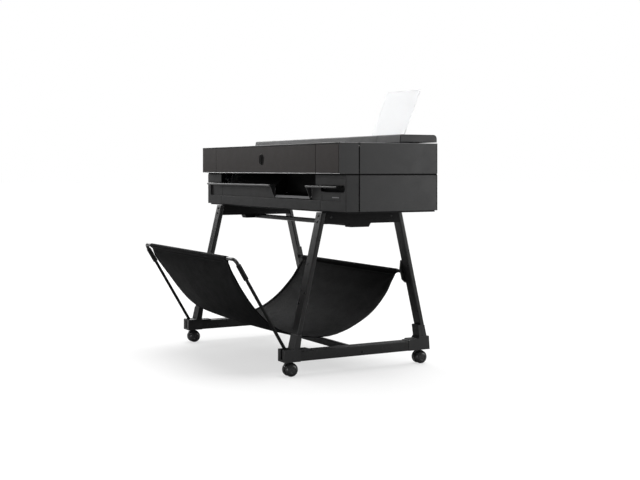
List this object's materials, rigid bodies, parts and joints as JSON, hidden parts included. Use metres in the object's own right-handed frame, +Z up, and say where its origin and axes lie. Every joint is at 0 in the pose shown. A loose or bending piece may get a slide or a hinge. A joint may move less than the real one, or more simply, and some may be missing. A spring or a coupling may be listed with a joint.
{
  "type": "large format plotter",
  "caption": "Wide-format plotter: a long printer body with hinged covers, output flaps and a fold-up sheet support, on a wheeled stand with a slung fabric media bin.",
  "frame": {"origin": "on the floor, under the middle of the bounding box", "axes": "+Z up, -Y to the front where prints come out, +X to the right seen from the front, along the carriage travel"},
  "size_m": [1.317, 0.8773, 1.1357],
  "materials": {
    "cover_dark": "fine moulded grain, dark grey",
    "cover_grey": "fine moulded grain, mid dark grey",
    "front_dark": "smooth semi-gloss, brownish black",
    "flap_dark": "fine grain",
    "inner_black": "dull",
    "frosted": "frosted, lets light through",
    "screen": "smooth",
    "button": "satin",
    "badge": "satin disc, blank",
    "cartridge": "moulded",
    "sheet_steel": "zinc plated",
    "rod_steel": "ground",
    "alloy": "machined",
    "roller_rubber": "ground rubber",
    "belt_rubber": "toothed belt",
    "hub_blue": "moulded",
    "board": "circuit board",
    "powder_coat": "fine powder coat, near black",
    "bare_rod": "grey coated tube",
    "foot_plastic": "textured moulding",
    "bolt_steel": "plated button heads",
    "sling_fabric": "woven, soft sheen",
    "wheel_rubber": "hard tread"
  },
  "bodies": {
    "printer": {"base_tray": "powder_coat", "lower_fascia": "cover_dark", "lower_left_end_cover": "cover_dark", "lower_right_end_cover": "cover_dark", "left_lower_side_cover": "cover_grey", "right_lower_side_cover": "cover_grey", "left_upper_side_cover": "cover_grey", "right_upper_side_cover": "cover_grey", "upper_left_end_cover": "front_dark", "upper_right_end_cover": "front_dark", "roll_bay_deck": "cover_grey", "rear_cover": "cover_grey", "roll_end_cover": "cover_grey", "touch_screen": "screen", "ink_cartridges": "cartridge", "output_ramp": "inner_black", "chassis": "sheet_steel", "platen": "inner_black", "carriage_rail": "rod_steel", "timing_belts": "belt_rubber", "drive_motors": "alloy", "service_station": "inner_black", "main_board": "board", "power_supply": "sheet_steel", "power_inlet": "inner_black", "front_legs": "powder_coat", "rear_legs": "powder_coat", "top_brackets": "powder_coat", "foot_beams": "powder_coat", "foot_blocks": "foot_plastic", "crossbars": "powder_coat", "stand_bolts": "bolt_steel", "bin_rear_rod": "powder_coat", "bin_rear_clips": "foot_plastic", "media_sling": "sling_fabric"},
    "main_cover": {"main_cover": "front_dark", "cover_badge": "badge"},
    "roll_cover": {"roll_cover": "cover_grey"},
    "sheet_support": {"sheet_support": "frosted"},
    "output_flap_left": {"output_flap_left": "flap_dark"},
    "output_flap_right": {"output_flap_right": "flap_dark"},
    "ink_door": {"ink_door": "front_dark"},
    "power_button": {"power_button": "button"},
    "carriage": {"carriage": "inner_black"},
    "motor_pulley": {"motor_pulley": "alloy"},
    "idler_pulley": {"idler_pulley": "alloy"},
    "feed_roller": {"feed_roller": "roller_rubber"},
    "pinch_rollers": {"pinch_rollers": "roller_rubber"},
    "roll_spindle": {"roll_spindle": "hub_blue"},
    "bin_frame": {"bin_arms": "powder_coat", "bin_front_rod": "bare_rod"},
    "caster_1": {"caster_fork_1": "foot_plastic"},
    "wheels_1": {"caster_wheels_1": "wheel_rubber"},
    "caster_2": {"caster_fork_2": "foot_plastic"},
    "wheels_2": {"caster_wheels_2": "wheel_rubber"},
    "caster_3": {"caster_fork_3": "foot_plastic"},
    "wheels_3": {"caster_wheels_3": "wheel_rubber"},
    "caster_4": {"caster_fork_4": "foot_plastic"},
    "wheels_4": {"caster_wheels_4": "wheel_rubber"}
  },
  "joints": [
    {"name": "main_cover_hinge", "type": "hinge", "parent": "printer", "child": "main_cover", "pos_m": [0, 0.118, 0.9015], "axis": [-1, 0, 0], "range_deg": [0, 60]},
    {"name": "roll_cover_hinge", "type": "hinge", "parent": "printer", "child": "roll_cover", "pos_m": [0, 0.368, 0.92], "axis": [-1, 0, 0], "range_deg": [0, 65]},
    {"name": "sheet_support_fold", "type": "hinge", "parent": "roll_cover", "child": "sheet_support", "pos_m": [0, 0.356, 0.9405], "axis": [1, 0, 0], "range_deg": [0, 113]},
    {"name": "left_flap_hinge", "type": "hinge", "parent": "printer", "child": "output_flap_left", "pos_m": [0, -0.054, 0.733], "axis": [-1, 0, 0], "range_deg": [0, 80]},
    {"name": "right_flap_hinge", "type": "hinge", "parent": "printer", "child": "output_flap_right", "pos_m": [0, -0.054, 0.733], "axis": [-1, 0, 0], "range_deg": [0, 80]},
    {"name": "ink_door_hinge", "type": "hinge", "parent": "printer", "child": "ink_door", "pos_m": [0.5645, -0.076, 0.7882], "axis": [1, 0, 0], "range_deg": [0, 85]},
    {"name": "power_button_press", "type": "slide", "parent": "printer", "child": "power_button", "axis": [0, 0, -1], "range_m": [0, 0.0015], "stiffness_N_per_m": 400},
    {"name": "carriage_travel", "type": "slide", "parent": "printer", "child": "carriage", "axis": [1, 0, 0], "range_m": [-0.99, 0]},
    {"name": "motor_pulley_spin", "type": "hinge", "parent": "printer", "child": "motor_pulley", "pos_m": [-0.614, 0.094, 0.887], "axis": [0, 1, 0], "continuous": true},
    {"name": "idler_pulley_spin", "type": "hinge", "parent": "printer", "child": "idler_pulley", "pos_m": [0.614, 0.094, 0.887], "axis": [0, 1, 0], "continuous": true},
    {"name": "feed_roller_spin", "type": "hinge", "parent": "printer", "child": "feed_roller", "pos_m": [0, 0.112, 0.7836], "axis": [1, 0, 0], "continuous": true},
    {"name": "pinch_roller_spin", "type": "hinge", "parent": "printer", "child": "pinch_rollers", "pos_m": [0, 0.112, 0.8025], "axis": [1, 0, 0], "continuous": true},
    {"name": "roll_spindle_spin", "type": "hinge", "parent": "printer", "child": "roll_spindle", "pos_m": [0, 0.288, 0.845], "axis": [1, 0, 0], "continuous": true},
    {"name": "bin_frame_fold", "type": "hinge", "parent": "printer", "child": "bin_frame", "pos_m": [0, -0.206, 0.082], "axis": [-1, 0, 0], "range_deg": [0, 16]},
    {"name": "caster_swivel_1", "type": "hinge", "parent": "printer", "child": "caster_1", "pos_m": [-0.484, -0.212, 0.058], "axis": [0, 0, 1], "continuous": true},
    {"name": "wheel_spin_1", "type": "hinge", "parent": "caster_1", "child": "wheels_1", "pos_m": [-0.484, -0.198, 0.0265], "axis": [1, 0, 0], "continuous": true},
    {"name": "caster_swivel_2", "type": "hinge", "parent": "printer", "child": "caster_2", "pos_m": [0.484, -0.212, 0.058], "axis": [0, 0, 1], "continuous": true},
    {"name": "wheel_spin_2", "type": "hinge", "parent": "caster_2", "child": "wheels_2", "pos_m": [0.484, -0.198, 0.0265], "axis": [1, 0, 0], "continuous": true},
    {"name": "caster_swivel_3", "type": "hinge", "parent": "printer", "child": "caster_3", "pos_m": [-0.484, 0.39, 0.058], "axis": [0, 0, 1], "continuous": true},
    {"name": "wheel_spin_3", "type": "hinge", "parent": "caster_3", "child": "wheels_3", "pos_m": [-0.484, 0.404, 0.0265], "axis": [1, 0, 0], "continuous": true},
    {"name": "caster_swivel_4", "type": "hinge", "parent": "printer", "child": "caster_4", "pos_m": [0.484, 0.39, 0.058], "axis": [0, 0, 1], "continuous": true},
    {"name": "wheel_spin_4", "type": "hinge", "parent": "caster_4", "child": "wheels_4", "pos_m": [0.484, 0.404, 0.0265], "axis": [1, 0, 0], "continuous": true}
  ],
  "couplings": [
    {"joint": "motor_pulley_spin", "follows": "carriage_travel", "rad_per_m": -153.85},
    {"joint": "idler_pulley_spin", "follows": "carriage_travel", "rad_per_m": -153.85},
    {"joint": "pinch_roller_spin", "follows": "feed_roller_spin", "ratio": -2}
  ]
}
